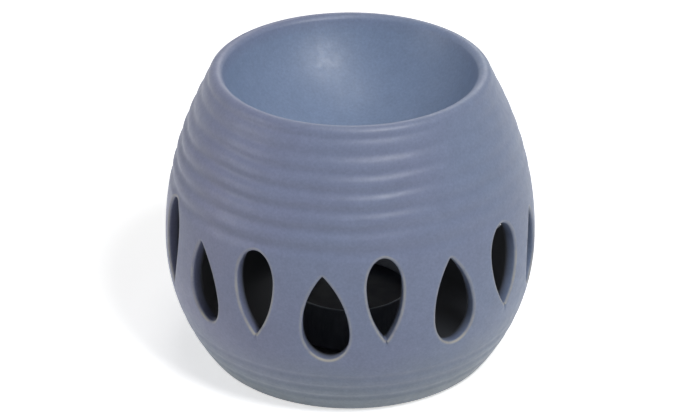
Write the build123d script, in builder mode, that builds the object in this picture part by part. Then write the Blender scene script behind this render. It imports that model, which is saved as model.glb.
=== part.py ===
from build123d import *
from math import asin, cos, degrees, radians, sin, sqrt
import os

# Essential oil burner: a thrown pot with an oil dish luted into its mouth and a tealight inside.
# Millimetres. The origin is the middle of the base, +Z is up and the front faces -Y.
# Bearings are degrees from the front, positive towards +X.

# Pot
pot_height = 90.0
belly_radius = 55.0
belly_height = 36.0
shoulder_draw_in = 13.9
foot_draw_in = 12.4
wall_thickness = 4.0
floor_thickness = 4.5
floor_corner_round = 6.0
heel_round = 4.0

# Rolled lip, and the smooth band between it and the joint where the dish sits on the wall
lip_thickness = 4.4
lip_band = 4.65

# Throwing rings on the shoulder, counted down from the joint, each a little wider than the last
ring_count = 6
ring_pitch = 4.75
ring_depth = 0.45
ring_growth_share = 0.05
ring_fade_share = 0.4

# Fine rings turned at the foot
foot_ring_count = 3
foot_ring_height = 6.9
foot_ring_pitch = 4.35
foot_ring_depth = 0.25
foot_ring_cutter_radius = 2.5

# Oil dish, a round bowl of even thickness
dish_depth = 24.0
dish_wall = 4.3
luting_gap = 0.3

# Row of cut drops: the size of a typical drop and the height of the lowest point of the row
drop_length = 27.0
drop_width = 12.5
drop_row_foot = 23.0
drop_round_share = 0.35

# Each drop as the knife left it: its bearing, whether it points up, how far its foot stands above
# the row's foot and its length as shares of the drop length, its width as a share of the drop
# width, and how many degrees its top leans to the left
drop_shares = [
    (-137.0, True, 0.06, 1.00, 1.02, 2.0),
    (-115.5, False, 0.20, 0.98, 0.95, -1.0),
    (-94.0, True, 0.09, 0.95, 0.97, 4.0),
    (-72.4, False, 0.20, 1.01, 0.93, 1.0),
    (-50.6, True, 0.10, 0.93, 0.92, 8.0),
    (-30.0, False, 0.18, 0.99, 0.94, 0.5),
    (-7.6, True, 0.00, 1.01, 1.09, 3.5),
    (10.5, False, 0.23, 0.97, 0.84, 1.5),
    (32.9, True, 0.05, 1.03, 1.06, 3.5),
    (54.9, False, 0.21, 0.98, 0.98, 2.5),
    (76.5, True, 0.12, 0.93, 0.96, 2.0),
    (98.0, False, 0.20, 0.97, 0.93, -1.5),
    (119.5, True, 0.05, 0.99, 1.03, 1.0),
    (141.0, False, 0.22, 0.96, 0.90, 0.0),
]

# Tealight
cup_radius = 19.0
cup_taper = 0.6
cup_height = 15.5
cup_skin = 0.3
cup_corner_bevel = 1.2
cup_flange = 0.8
wax_gap = 0.3
wax_height = 12.0
wax_edge_bevel = 0.6
wick_radius = 0.7
wick_above_wax = 7.0
wick_gap = 0.05
holder_radius = 6.0
holder_skin = 0.3
holder_neck_height = 4.5

# Opening at the back that the tealight goes through, flush with the floor
opening_side_room = 4.0
opening_head_room = 1.0

# One overrun for every cut
overrun = 2.0


# The outer wall is two round arcs that meet upright at the belly, one up to the lip and one down
# to the foot. The radius of each follows from how far it runs and how far it draws in.
def arc_radius(draw_in, run):
    return (draw_in**2 + run**2) / (2 * draw_in)


lip_round = lip_thickness / 2
lip_height = pot_height - lip_round
lip_radius = belly_radius - shoulder_draw_in - lip_round
seat_height = lip_height - lip_band
shoulder_arc = arc_radius(shoulder_draw_in, lip_height - belly_height)
lower_arc = arc_radius(foot_draw_in, belly_height)
shoulder_centre = (belly_radius - shoulder_arc, belly_height)
lower_centre = (belly_radius - lower_arc, belly_height)

# The bowl of the dish is part of a ball that runs smoothly into the round of the lip
bowl_arc = (lip_radius**2 + dish_depth**2 - lip_round**2) / (2 * (dish_depth + lip_round))
bowl_rise = bowl_arc - dish_depth
bowl_centre = (0, lip_height + bowl_rise)
rim_turn = degrees(asin(bowl_rise / (bowl_arc + lip_round)))
dish_outer_arc = bowl_arc + dish_wall


def arc_angle(height, radius):
    """Degrees above the belly at which an arc of this radius reaches the height."""
    return degrees(asin((height - belly_height) / radius))


def wall_point(height, outward):
    """Point at this height on the outer wall, moved square to the wall by the amount outward."""
    arc = shoulder_arc if height > belly_height else lower_arc
    angle = radians(arc_angle(height, arc))
    reach = arc + outward
    return (belly_radius - arc + reach * cos(angle), belly_height + reach * sin(angle))


def shoulder_ring_points():
    """Grooves and ridges in turn, from the joint down, fading out towards the belly."""
    points = []
    height = seat_height
    for ring in range(ring_count):
        fade = 1 - ring_fade_share * ring / ring_count
        pitch = ring_pitch * (1 + ring_growth_share * ring)
        points.append(wall_point(height, -ring_depth * fade))
        points.append(wall_point(height - pitch / 2, 0))
        height -= pitch
    return points


# Half section of the whole pot, filled in, from the axis to the outer wall and over the lip
ring_points = shoulder_ring_points()
rings_end_angle = arc_angle(ring_points[-1][1], shoulder_arc)
rings_end_direction = (sin(radians(rings_end_angle)), -cos(radians(rings_end_angle)))
foot_ring_heights = [foot_ring_height + foot_ring_pitch * ring for ring in range(foot_ring_count)]
foot_ring_outward = foot_ring_cutter_radius - foot_ring_depth
with BuildSketch() as pot_section:
    with BuildLine():
        lip_lean = arc_angle(lip_height, shoulder_arc)
        lip_turn = lip_lean + rim_turn - 180
        lip = CenterArc((lip_radius, lip_height), lip_round, 180 - rim_turn, lip_turn)
        Spline([lip @ 1] + ring_points, tangents=[lip % 1, rings_end_direction])
        CenterArc(shoulder_centre, shoulder_arc, rings_end_angle, -rings_end_angle)
        lower_wall = CenterArc(lower_centre, lower_arc, 0, arc_angle(0, lower_arc))
        Polyline(lower_wall @ 1, (0, 0), (0, (lip @ 0).Y), lip @ 0)
    make_face()
    with Locations(*[wall_point(height, foot_ring_outward) for height in foot_ring_heights]):
        Circle(foot_ring_cutter_radius, mode=Mode.SUBTRACT)


def bowl_half(reach):
    """Half section of a bowl of this radius, filled in up to where the bowl meets the lip."""
    with BuildSketch() as half:
        with BuildLine():
            curve = CenterArc(bowl_centre, reach, -90, 90 - rim_turn)
            Polyline(curve @ 1, (0, (curve @ 1).Y), curve @ 0)
        make_face()
    return half.sketch_local


# Oil dish: the bowl below the joint, the lip above it
with BuildSketch() as lip_section:
    add(pot_section.sketch_local)
    with Locations((0, seat_height)):
        Rectangle(belly_radius, pot_height, align=Align.MIN, mode=Mode.INTERSECT)
with BuildPart() as oil_dish:
    with BuildSketch(Plane.XZ):
        add(bowl_half(dish_outer_arc))
        with Locations((0, seat_height)):
            Rectangle(belly_radius, pot_height, align=Align.MIN, mode=Mode.SUBTRACT)
        add(lip_section.sketch_local)
        add(bowl_half(bowl_arc), mode=Mode.SUBTRACT)
    revolve(axis=Axis.Z)
oil_dish.part.label = "oil_dish"


def wall_plane(bearing, height, turn):
    """Upright plane through the axis of the pot that faces the bearing, turned in itself."""
    facing = (sin(radians(bearing)), -cos(radians(bearing)), 0)
    across = (
        cos(radians(bearing)) * cos(radians(turn)),
        sin(radians(bearing)) * cos(radians(turn)),
        sin(radians(turn)),
    )
    return Plane(origin=(0, 0, height), x_dir=across, z_dir=facing)


def drop_outline(length, width):
    """Drop that points up, round its middle: half an ellipse below, two arcs to the tip above."""
    round_height = drop_round_share * length
    widest = round_height - length / 2
    side_arc = arc_radius(width / 2, length - round_height)
    tip_angle = degrees(asin((length - round_height) / side_arc))
    with BuildSketch() as outline:
        with BuildLine():
            EllipticalCenterArc((0, widest), width / 2, round_height, 270, arc_size=90)
            CenterArc((width / 2 - side_arc, widest), side_arc, 0, tip_angle)
            mirror(about=Plane.YZ)
        make_face()
    return outline.sketch_local


# Hollow of the pot: follows the outer wall at the wall thickness, with a rounded floor corner
inner_top_angle = arc_angle(seat_height + overrun, shoulder_arc - wall_thickness)
inner_floor_angle = arc_angle(floor_thickness, lower_arc - wall_thickness)
with BuildSketch() as hollow:
    with BuildLine():
        inner_upper = CenterArc(
            shoulder_centre, shoulder_arc - wall_thickness, inner_top_angle, -inner_top_angle
        )
        inner_lower = CenterArc(lower_centre, lower_arc - wall_thickness, 0, inner_floor_angle)
        Polyline(
            inner_lower @ 1,
            (0, floor_thickness),
            (0, seat_height + overrun),
            inner_upper @ 0,
        )
    make_face()
    floor_corner = hollow.vertices().sort_by_distance(inner_lower @ 1)[0]
    fillet(floor_corner, floor_corner_round)


# Thrown pot: the section below the joint, hollowed, then the drops and the opening cut through
dish_outer_radius = sqrt(dish_outer_arc**2 - (bowl_centre[1] - seat_height) ** 2)
mouth_hole_radius = dish_outer_radius + luting_gap
opening_half_width = cup_radius + opening_side_room
opening_straight_height = cup_height + opening_head_room
with BuildPart() as burner_body:
    with BuildSketch(Plane.XZ):
        add(pot_section.sketch_local)
        add(hollow.sketch_local, mode=Mode.SUBTRACT)
        with Locations((0, seat_height)):
            Rectangle(belly_radius, pot_height, align=Align.MIN, mode=Mode.SUBTRACT)
            Rectangle(
                mouth_hole_radius,
                seat_height - belly_height,
                align=(Align.MIN, Align.MAX),
                mode=Mode.SUBTRACT,
            )
    revolve(axis=Axis.Z)
    fillet(burner_body.edges().group_by(Axis.Z)[0], heel_round)

    for bearing, points_up, foot_share, length_share, width_share, lean in drop_shares:
        length = length_share * drop_length
        height = drop_row_foot + foot_share * drop_length + length / 2
        turn = lean if points_up else lean + 180
        with BuildSketch(wall_plane(bearing, height, turn)):
            add(drop_outline(length, width_share * drop_width))
        extrude(amount=belly_radius + overrun, mode=Mode.SUBTRACT)

    with BuildSketch(wall_plane(180, floor_thickness, 0)):
        Rectangle(
            2 * opening_half_width, opening_straight_height, align=(Align.CENTER, Align.MIN)
        )
        with Locations((0, opening_straight_height)):
            Circle(opening_half_width)
    extrude(amount=belly_radius + overrun, mode=Mode.SUBTRACT)
burner_body.part.label = "burner_body"


# Tealight cup: thin skin with a bevelled bottom corner, a slight taper and a flange round the rim
cup_floor = floor_thickness + cup_skin
cup_rim = floor_thickness + cup_height
cup_mouth_radius = cup_radius - cup_flange
cup_base_radius = cup_mouth_radius - cup_taper
with BuildPart() as tealight_cup:
    with BuildSketch(Plane.XZ):
        with BuildLine():
            Polyline(
                (0, floor_thickness + cup_skin / 2),
                (cup_base_radius - cup_corner_bevel, floor_thickness + cup_skin / 2),
                (cup_base_radius, floor_thickness + cup_corner_bevel),
                (cup_mouth_radius, cup_rim - cup_skin / 2),
                (cup_radius, cup_rim - cup_skin / 2),
            )
        trace(line_width=cup_skin)
    revolve(axis=Axis.Z)
tealight_cup.part.label = "tealight_cup"


# Wax: stands on the cup's floor, with a hollow below for the wick holder and a bore for the wick
wax_top = cup_floor + wax_height
wax_base_radius = cup_base_radius - cup_skin - wax_gap
wax_top_radius = wax_base_radius + cup_taper * wax_height / cup_height
holder_bore = wick_radius + wick_gap
holder_neck_radius = holder_bore + holder_skin
with BuildPart() as tealight_wax:
    with BuildSketch(Plane.XZ):
        with BuildLine():
            Polyline(
                (0, cup_floor),
                (wax_base_radius - cup_corner_bevel, cup_floor),
                (wax_base_radius, cup_floor + cup_corner_bevel),
                (wax_top_radius, wax_top - wax_edge_bevel),
                (wax_top_radius - wax_edge_bevel, wax_top),
                (0, wax_top),
                close=True,
            )
        make_face()
        with Locations((0, cup_floor)):
            Rectangle(
                holder_radius + wick_gap, holder_skin + wick_gap, align=Align.MIN, mode=Mode.SUBTRACT
            )
            Rectangle(
                holder_neck_radius + wick_gap,
                holder_neck_height + wick_gap,
                align=Align.MIN,
                mode=Mode.SUBTRACT,
            )
            Rectangle(
                wick_radius + wick_gap, wax_height + overrun, align=Align.MIN, mode=Mode.SUBTRACT
            )
    revolve(axis=Axis.Z)
tealight_wax.part.label = "tealight_wax"


# Wick holder: a tinplate disc with a neck that grips the wick
with BuildPart() as wick_holder:
    with BuildSketch(Plane.XZ):
        with Locations((holder_bore, cup_floor)):
            Rectangle(holder_radius - holder_bore, holder_skin, align=Align.MIN)
            Rectangle(holder_skin, holder_neck_height, align=Align.MIN)
    revolve(axis=Axis.Z)
wick_holder.part.label = "wick_holder"


# Wick
with BuildPart(Plane.XY.offset(cup_floor)) as wick:
    Cylinder(
        wick_radius,
        wax_height + wick_above_wax,
        align=(Align.CENTER, Align.CENTER, Align.MIN),
    )
wick.part.label = "wick"


os.makedirs("parts", exist_ok=True)
for piece in (burner_body, oil_dish, tealight_cup, tealight_wax, wick_holder, wick):
    export_step(piece.part, f"parts/{piece.part.label}.step")
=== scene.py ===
"""Dresses the packed oil burner: the thrown pot and its dish, the tealight inside, and the stage."""

import math

import bmesh
import bpy
import numpy as np
from bpy.props import FloatProperty, FloatVectorProperty, IntProperty, PointerProperty
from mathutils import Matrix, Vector
from mathutils.geometry import delaunay_2d_cdt


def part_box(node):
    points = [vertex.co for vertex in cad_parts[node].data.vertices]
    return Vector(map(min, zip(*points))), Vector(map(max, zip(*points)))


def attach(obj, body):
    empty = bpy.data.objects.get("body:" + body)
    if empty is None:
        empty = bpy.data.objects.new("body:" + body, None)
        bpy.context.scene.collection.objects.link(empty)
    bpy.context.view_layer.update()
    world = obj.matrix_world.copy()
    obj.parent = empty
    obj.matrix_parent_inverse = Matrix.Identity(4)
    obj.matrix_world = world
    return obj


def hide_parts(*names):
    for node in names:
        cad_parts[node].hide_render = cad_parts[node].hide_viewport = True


bl_info = {
    "name": "Essential oil burner",
    "version": (1, 0, 0),
    "blender": (4, 5, 0),
    "location": "3D View > Sidebar > Oil Burner",
    "description": "Throws, pierces and glazes an oil burner round its packed solids",
    "category": "Object",
}

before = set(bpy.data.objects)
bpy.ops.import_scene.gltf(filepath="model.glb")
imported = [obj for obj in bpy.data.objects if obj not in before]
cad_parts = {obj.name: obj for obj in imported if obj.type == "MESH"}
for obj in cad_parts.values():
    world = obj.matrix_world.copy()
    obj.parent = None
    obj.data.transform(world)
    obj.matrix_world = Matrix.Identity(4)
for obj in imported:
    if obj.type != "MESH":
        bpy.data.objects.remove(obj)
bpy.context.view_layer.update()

# Each drop as the knife left it: bearing from the front in degrees, whether it points up, height of
# its foot above the row's foot and its length as shares of the drop length, its width as a share of
# the drop width, and how many degrees its top leans to the left.
DROPS = (
    (-137.0, True, 0.06, 1.00, 1.02, 2.0),
    (-115.5, False, 0.20, 0.98, 0.95, -1.0),
    (-94.0, True, 0.09, 0.95, 0.97, 4.0),
    (-72.4, False, 0.20, 1.01, 0.93, 1.0),
    (-50.6, True, 0.10, 0.93, 0.92, 8.0),
    (-30.0, False, 0.18, 0.99, 0.94, 0.5),
    (-7.6, True, 0.00, 1.01, 1.09, 3.5),
    (10.5, False, 0.23, 0.97, 0.84, 1.5),
    (32.9, True, 0.05, 1.03, 1.06, 3.5),
    (54.9, False, 0.21, 0.98, 0.98, 2.5),
    (76.5, True, 0.12, 0.93, 0.96, 2.0),
    (98.0, False, 0.20, 0.97, 0.93, -1.5),
    (119.5, True, 0.05, 0.99, 1.03, 1.0),
    (141.0, False, 0.22, 0.96, 0.90, 0.0),
)

# Bearings of the columns of points round the pot, from its seam, between two drops, to its seam
COLUMNS = math.radians(-104.8) + np.linspace(0, 2 * math.pi, 241)

# Rows of points round each cut: how far out from it, and how much cream they carry
OUTER_ROWS = ((0, 0.5), (0.0004, 0.16), (0.0009, 0.03), (0.0015, 0.0), (0.0023, 0.0))
INNER_ROWS = ((0, 0.0), (0.0008, 0.0), (0.0018, 0.0))

# Cream on the rows over a cut's outer edge and over its inner edge, and how far through the wall
# the rows between them lie
OUTER_EDGE_CREAM = (0.55, 0.9, 1.0, 0.9, 0.6, 0.35)
INNER_EDGE_CREAM = (0.1, 0.2, 0.2, 0.1, 0)
FACE_ROWS = (0.2, 0.4, 0.6, 0.8)

# Each lamp's diameter and place. Its power is the setting of the stage with the same name.
LAMPS = {
    "key": (0.25, (0.35, -0.5, 0.85)),
    "fill": (0.5, (-0.98, -0.2, 0.25)),
    "side": (0.4, (0.75, 0.0, 0.7)),
    "top": (0.4, (0.0, -0.1, 1.05)),
    "back": (0.5, (0.2, 0.85, 0.55)),
}
LAMP_AIM = Vector((0, 0, 0.05))

# Edges that turn by less than this are shaded smooth
SHARP_ANGLE = math.radians(50)


def paint(red, green, blue):
    """A colour as seen on a screen, 0 to 255, as the linear colour that a shader takes."""
    shares = (channel / 255 for channel in (red, green, blue))
    return tuple(s / 12.92 if s < 0.04045 else ((s + 0.055) / 1.055) ** 2.4 for s in shares)


def number_of(name, description, default, **kind):
    """A number from nothing up."""
    return FloatProperty(name=name, description=description, default=default, min=0, **kind)


def size_of(name, description, default):
    """A length in metres."""
    return number_of(name, description, default, subtype="DISTANCE", unit="LENGTH")


def share_of(name, description, default):
    """A share from nothing to the whole."""
    return number_of(name, description, default, max=1)


def power_of(name, description, default):
    """A lamp's power in watts."""
    return number_of(name, description, default, unit="POWER")


def angle_of(name, description, degrees):
    """An angle, given here in degrees."""
    turn = {"subtype": "ANGLE", "unit": "ROTATION", "default": math.radians(degrees)}
    return FloatProperty(name=name, description=description, **turn)


def colour_of(name, description, *screen_colour):
    """A colour, given here as seen on a screen."""
    kind = {"default": paint(*screen_colour), "min": 0, "max": 1, "size": 3, "subtype": "COLOR"}
    return FloatVectorProperty(name=name, description=description, **kind)


class PotSettings(bpy.types.PropertyGroup):
    """Shape of the thrown pot and of the dish in its mouth."""

    belly_radius: size_of("Belly radius", "Half the width at the widest place", 0.05498)
    belly_height: size_of("Belly height", "Height of the widest place", 0.036)
    pot_height: size_of("Height", "Height over the lip", 0.09)
    shoulder_draw_in: size_of("Shoulder draw-in", "How far the wall comes in up to the lip", 0.0139)
    foot_draw_in: size_of("Foot draw-in", "How far the wall comes in down to the foot", 0.0124)
    wall: size_of("Wall", "Thickness of the pot's wall", 0.004)
    floor: size_of("Floor", "Thickness of the pot's floor", 0.0045)
    floor_corner: size_of("Floor corner", "Round between the wall and the floor inside", 0.006)
    heel_round: size_of("Heel", "Round of the bottom edge", 0.004)
    lip_thickness: size_of("Lip", "Thickness of the rolled lip", 0.0044)
    lip_band: size_of("Lip band", "Smooth band from the dish's seat to the lip", 0.00465)
    dish_depth: size_of("Dish depth", "Depth of the dish below its lip", 0.024)
    dish_wall: size_of("Dish wall", "Thickness of the dish", 0.0043)
    dish_gap: size_of("Dish gap", "Room between the dish and the pot's mouth", 0.0003)


class RingSettings(bpy.types.PropertyGroup):
    """Rings that the fingers left on the shoulder, and the fine ones at the foot."""

    count: IntProperty(name="Rings", description="Grooves on the shoulder", default=6, min=1)
    pitch: size_of("Pitch", "Height of the first ring", 0.00475)
    growth: share_of("Growth", "How much wider each ring is than the one above", 0.05)
    depth: size_of("Depth", "Depth of the deepest groove", 0.00066)
    fade: share_of("Fade", "How much shallower the rings get towards the belly", 0.0)
    deep_bearing: angle_of("Deep side", "Bearing at which the rings are deepest", -60)
    weak_share: share_of("Weak side", "Depth left on the opposite side", 0.16)
    waver: share_of("Waver", "How far a ring wanders up and down, in pitches", 0.3)
    hand: size_of("Hand", "How far the wall strays from a true round", 0.00016)
    seed: FloatProperty(name="Seed", description="Changes the wandering", default=4.0)
    foot_count: IntProperty(name="Foot rings", description="Fine rings at the foot", default=3, min=1)
    foot_height: size_of("Foot ring height", "Height of the lowest fine ring", 0.0069)
    foot_pitch: size_of("Foot ring pitch", "Height between fine rings", 0.00435)
    foot_depth: size_of("Foot ring depth", "Depth of the fine rings", 0.00022)
    foot_width: size_of("Foot ring width", "Width of the fine rings", 0.0026)


class DropSettings(bpy.types.PropertyGroup):
    """Row of drops cut with a knife while the clay was soft, and the opening at the back."""

    length: size_of("Length", "Length of a typical drop", 0.027)
    width: size_of("Width", "Width of a typical drop", 0.0125)
    row_foot: size_of("Row foot", "Height of the lowest point of the row", 0.023)
    round_share: share_of("Round share", "Share of the length below the widest place", 0.35)
    edge_round: size_of("Edge round", "How far the outer edges are softened", 0.0008)
    inner_round: size_of("Inner round", "How far the inner edges are softened", 0.0005)
    tip_round: size_of("Tip round", "Round of the tip", 0.00045)
    slit_depth: size_of("Slit depth", "Depth of the knife mark past a lower tip", 0.00055)
    arch_half_width: size_of("Arch half width", "Half the width of the rear opening", 0.023)
    arch_straight: size_of("Arch straight", "Height of the rear opening's upright sides", 0.0165)


class GlazeSettings(bpy.types.PropertyGroup):
    """Colours of the matt glaze and of the clay."""

    body: colour_of("Glaze", "Main colour", 116, 127, 158)
    # The purplish patches are darker and the bluer ones lighter: painted shade on the left and
    # painted light on the right, besides the glaze's own hue
    warm: colour_of("Warm patches", "Colour where the glaze turns purplish", 122, 121, 150)
    cool: colour_of("Cool patches", "Colour where the glaze turns bluer", 122, 139, 166)
    # Bluer where the glaze pooled, and lighter than the glaze as painted light in the dish
    bowl: colour_of("Bowl", "Bluer glaze where it pooled in the dish", 118, 136, 166)
    # Greenish grey towards the foot
    thin: colour_of("Thin glaze", "Greenish grey where the glaze is thin at the foot", 118, 130, 138)
    edge: colour_of("Edge", "Cream where the glaze broke over an edge", 182, 179, 166)
    # The inside colour is far darker than the bare clay: painted shade inside the closed pot
    inside: colour_of("Inside", "Dull clay inside the pot", 48, 51, 58)
    clay: colour_of("Clay", "Bare clay under the foot", 168, 160, 148)
    roughness: share_of("Roughness", "Roughness of the glaze", 0.45)


class TealightSettings(bpy.types.PropertyGroup):
    """Tealight in its foil cup."""

    flutes: IntProperty(name="Flutes", description="Pleats round the cup", default=64, min=3)
    flute_depth: size_of("Flute depth", "Depth of a pleat", 0.00016)
    skin: size_of("Skin", "Thickness of the foil", 0.00025)
    wick_thickness: size_of("Wick", "Thickness of the wick", 0.00138)
    strands: IntProperty(name="Strands", description="Strands laid into the wick", default=3, min=2)
    wick_turns: FloatProperty(name="Turns", description="Turns of the lay", default=6.0, min=0)
    # The dark blue-grey wax is painted shade, so the tealight reads as the dark inside of the pot
    wax: colour_of("Wax", "Colour of the dark blue wax", 42, 47, 61)
    foil: colour_of("Foil", "Colour of the cup", 136, 142, 154)
    cotton: colour_of("Cotton", "Colour of the wick", 206, 198, 180)
    tin: colour_of("Tin", "Colour of the wick's foot", 170, 172, 174)


class StageSettings(bpy.types.PropertyGroup):
    """Floor, lamps and camera."""

    floor: colour_of("Floor", "Colour of the floor", 252, 252, 252)
    key: power_of("Key", "Power of the lamp in front on the right, watts", 5.0)
    fill: power_of("Fill", "Power of the low lamp on the left, watts", 1.7)
    side: power_of("Side", "Power of the lamp on the right, watts", 0.2)
    top: power_of("Top", "Power of the lamp overhead, watts", 1.5)
    back: power_of("Back", "Power of the lamp behind, watts", 1.3)
    ambient: share_of("Ambient", "Light from all round", 0.06)
    floor_glow: share_of("Floor glow", "What brings the lit floor up to white for the camera", 0.62)
    elevation: angle_of("Elevation", "Height of the camera above the horizon", 27.796)
    distance: size_of("Distance", "Distance from the camera to its target", 0.8313)
    target_height: size_of("Target height", "Height that the camera aims at", 0.04333)
    lens: FloatProperty(name="Lens", description="Focal length, mm", default=144.0, min=1)


class Value:
    """What a socket gives, so that the sums in a node tree are written as sums."""

    def __init__(self, graph, socket):
        self.graph, self.socket = graph, socket

    def __add__(self, other):
        return self.graph.math("ADD", self, other)

    def __sub__(self, other):
        return self.graph.math("SUBTRACT", self, other)

    def __rsub__(self, other):
        return self.graph.math("SUBTRACT", other, self)

    def __mul__(self, other):
        return self.graph.math("MULTIPLY", self, other)

    def __truediv__(self, other):
        return self.graph.math("DIVIDE", self, other)


class Graph:
    """Writes a node tree in few words: values are linked, anything else is set on the socket."""

    def __init__(self, tree):
        self.tree = tree

    def node(self, kind, values=None, **settings):
        node = self.tree.nodes.new(kind)
        for name, value in settings.items():
            setattr(node, name, value)
        for key, value in (values or {}).items():
            socket = node.inputs[key]
            if isinstance(value, Value):
                self.tree.links.new(value.socket, socket)
            else:
                socket.default_value = (*value[:3], 1.0) if socket.type == "RGBA" else value
        return node

    def made(self, kind, values=None, output=0, **settings):
        """What one output of a new node gives."""
        return Value(self, self.node(kind, values, **settings).outputs[output])

    def math(self, operation, *values, clamp=False):
        values = dict(enumerate(values))
        return self.made("ShaderNodeMath", values, operation=operation, use_clamp=clamp)

    def vector(self, operation, *values, output=0):
        values = dict(enumerate(values))
        return self.made("ShaderNodeVectorMath", values, output, operation=operation)

    def joined(self, x, y, z):
        return self.made("ShaderNodeCombineXYZ", {0: x, 1: y, 2: z})

    def split(self, vector):
        return [Value(self, axis) for axis in self.node("ShaderNodeSeparateXYZ", {0: vector}).outputs]

    def ranged(self, value, low, high, to_low=0.0, to_high=1.0, smooth=False):
        kind = "SMOOTHSTEP" if smooth else "LINEAR"
        values = {"Value": value, "From Min": low, "From Max": high}
        values.update({"To Min": to_low, "To Max": to_high})
        return self.made("ShaderNodeMapRange", values, interpolation_type=kind)

    def crests(self, angle, sharpness):
        """Cosine from nothing to one: the sharper, the narrower its crests."""
        wave = self.math("MULTIPLY_ADD", self.math("COSINE", angle), 0.5, 0.5)
        return self.math("POWER", wave, sharpness)

    def noise(self, place, cells, detail, seed, roughness=0.5):
        """Noise with so many cells to the metre, or so many along x, y and z."""
        if isinstance(cells, tuple):
            place, cells = self.vector("MULTIPLY", place, cells), 1.0
        values = {"Vector": place, "W": seed, "Scale": cells, "Detail": detail}
        values["Roughness"] = roughness
        return self.made("ShaderNodeTexNoise", values, noise_dimensions="4D")

    def varied(self, place, low, high, reach=0.2, **noise):
        """From low to high where a noise is less than the reach away from a half."""
        return self.ranged(self.noise(place, **noise), 0.5 - reach, 0.5 + reach, low, high)

    def mixed(self, share, first, second, blend="MIX"):
        values = {0: share, 6: first, 7: second}
        return self.made("ShaderNodeMix", values, 2, data_type="RGBA", blend_type=blend)

    def toned(self, colour, tone):
        """The colour made darker or lighter by a tone."""
        return self.mixed(1.0, colour, self.joined(tone, tone, tone), "MULTIPLY")

    def painted(self, name):
        """Values stored under this name on the points of a mesh, for a tree of geometry."""
        return self.made("GeometryNodeInputNamedAttribute", {"Name": name}, data_type="FLOAT")

    def worn(self, name):
        """The same values, for a material."""
        return self.made("ShaderNodeAttribute", output="Fac", attribute_name=name)

    def place(self):
        """Place of a point as x, y and z, for a tree of geometry."""
        return self.split(self.made("GeometryNodeInputPosition"))

    def moved(self, geometry, place):
        return self.made("GeometryNodeSetPosition", {"Geometry": geometry, "Position": place})

    def coat(self, values, relief=None, **bump):
        """Last nodes of a material: a shader with these values, over a relief if there is one."""
        if relief:
            values["Normal"] = self.made("ShaderNodeBump", {**bump, "Height": relief})
        shader = self.made("ShaderNodeBsdfPrincipled", values)
        self.node("ShaderNodeOutputMaterial", {"Surface": shader})

    def close(self, geometry, material):
        """Last nodes of a tree of geometry: instances made real, and the material set."""
        real = self.made("GeometryNodeRealizeInstances", {0: geometry})
        dressed = self.made("GeometryNodeSetMaterial", {"Geometry": real, "Material": material})
        self.node("NodeGroupOutput", {0: dressed})


def socket_kind(value):
    """The kind of input that takes such a value."""
    if isinstance(value, bpy.types.Material):
        return "NodeSocketMaterial"
    return "NodeSocketInt" if isinstance(value, int) else "NodeSocketFloat"


def new_geometry_tree(name, values):
    """Geometry tree with a mesh in and out, its graph, and what its inputs for the values give."""
    tree = bpy.data.node_groups.new(name, "GeometryNodeTree")
    tree.is_modifier = True
    for way in ("INPUT", "OUTPUT"):
        tree.interface.new_socket("Geometry", in_out=way, socket_type="NodeSocketGeometry")
    for label, value in values.items():
        tree.interface.new_socket(label, in_out="INPUT", socket_type=socket_kind(value))
    graph = Graph(tree)
    given = {socket.name: Value(graph, socket) for socket in graph.node("NodeGroupInput").outputs}
    return tree, graph, given


def run_tree(name, mesh, tree, values):
    """Puts the mesh through the tree with these inputs and returns a plain object of that name."""
    blank = bpy.data.objects.new(name + "_blank", mesh)
    bpy.context.scene.collection.objects.link(blank)
    modifier = blank.modifiers.new(tree.name, "NODES")
    modifier.node_group = tree
    for item in tree.interface.items_tree:
        if item.in_out == "INPUT" and item.name in values:
            modifier[item.identifier] = values[item.name]
    depsgraph = bpy.context.evaluated_depsgraph_get()
    made = bpy.data.meshes.new_from_object(blank.evaluated_get(depsgraph))
    bpy.data.objects.remove(blank)
    bpy.data.meshes.remove(mesh)
    made.name = name
    finished = bpy.data.objects.new(name, made)
    bpy.context.scene.collection.objects.link(finished)
    return finished


def weld(piece, gap=2e-6):
    """Merges the doubles of a closed skin, faces it outwards and keeps only real edges sharp."""
    form = bmesh.new()
    form.from_mesh(piece.data)
    bmesh.ops.remove_doubles(form, verts=form.verts, dist=gap)
    bmesh.ops.dissolve_degenerate(form, edges=form.edges, dist=gap)
    bmesh.ops.recalc_face_normals(form, faces=form.faces)
    open_edges = sum(1 for edge in form.edges if not edge.is_manifold)
    if open_edges:
        raise RuntimeError(f"{piece.name} has {open_edges} open edges")
    if form.calc_volume(signed=True) < 0:
        bmesh.ops.reverse_faces(form, faces=form.faces)
    for face in form.faces:
        face.smooth = True
    form.to_mesh(piece.data)
    form.free()
    piece.data.set_sharp_from_angle(angle=SHARP_ANGLE)
    return piece


def arc_radius(bow, reach):
    """Radius of an arc that bows by so much over this reach."""
    return (bow**2 + reach**2) / (2 * bow)


def fan(centre, radius, start, end, steps):
    """Points of an arc and the way out at each, angles in degrees."""
    angles = np.radians(np.linspace(start, end, steps + 1))
    ways = [(math.cos(a), math.sin(a)) for a in angles]
    return [(centre[0] + radius * x, centre[1] + radius * y) for x, y in ways], ways


def turned(*arc, steps):
    """Points of an arc alone."""
    return fan(*arc, steps)[0]


def bend(start, start_heading, end, end_heading, steps):
    """Smooth line between two points of the section that leaves and comes in at these headings."""
    a, b = np.array(start), np.array(end)
    length = np.linalg.norm(b - a)
    headings = [np.radians(start_heading), np.radians(end_heading)]
    leave, arrive = (length * np.array([np.cos(h), np.sin(h)]) for h in headings)
    points = []
    for t in np.linspace(0, 1, steps + 1):
        point = a * (2 * t**3 - 3 * t**2 + 1) + leave * (t**3 - 2 * t**2 + t)
        points.append(tuple(point + b * (3 * t**2 - 2 * t**3) + arrive * (t**3 - t**2)))
    return points


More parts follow.
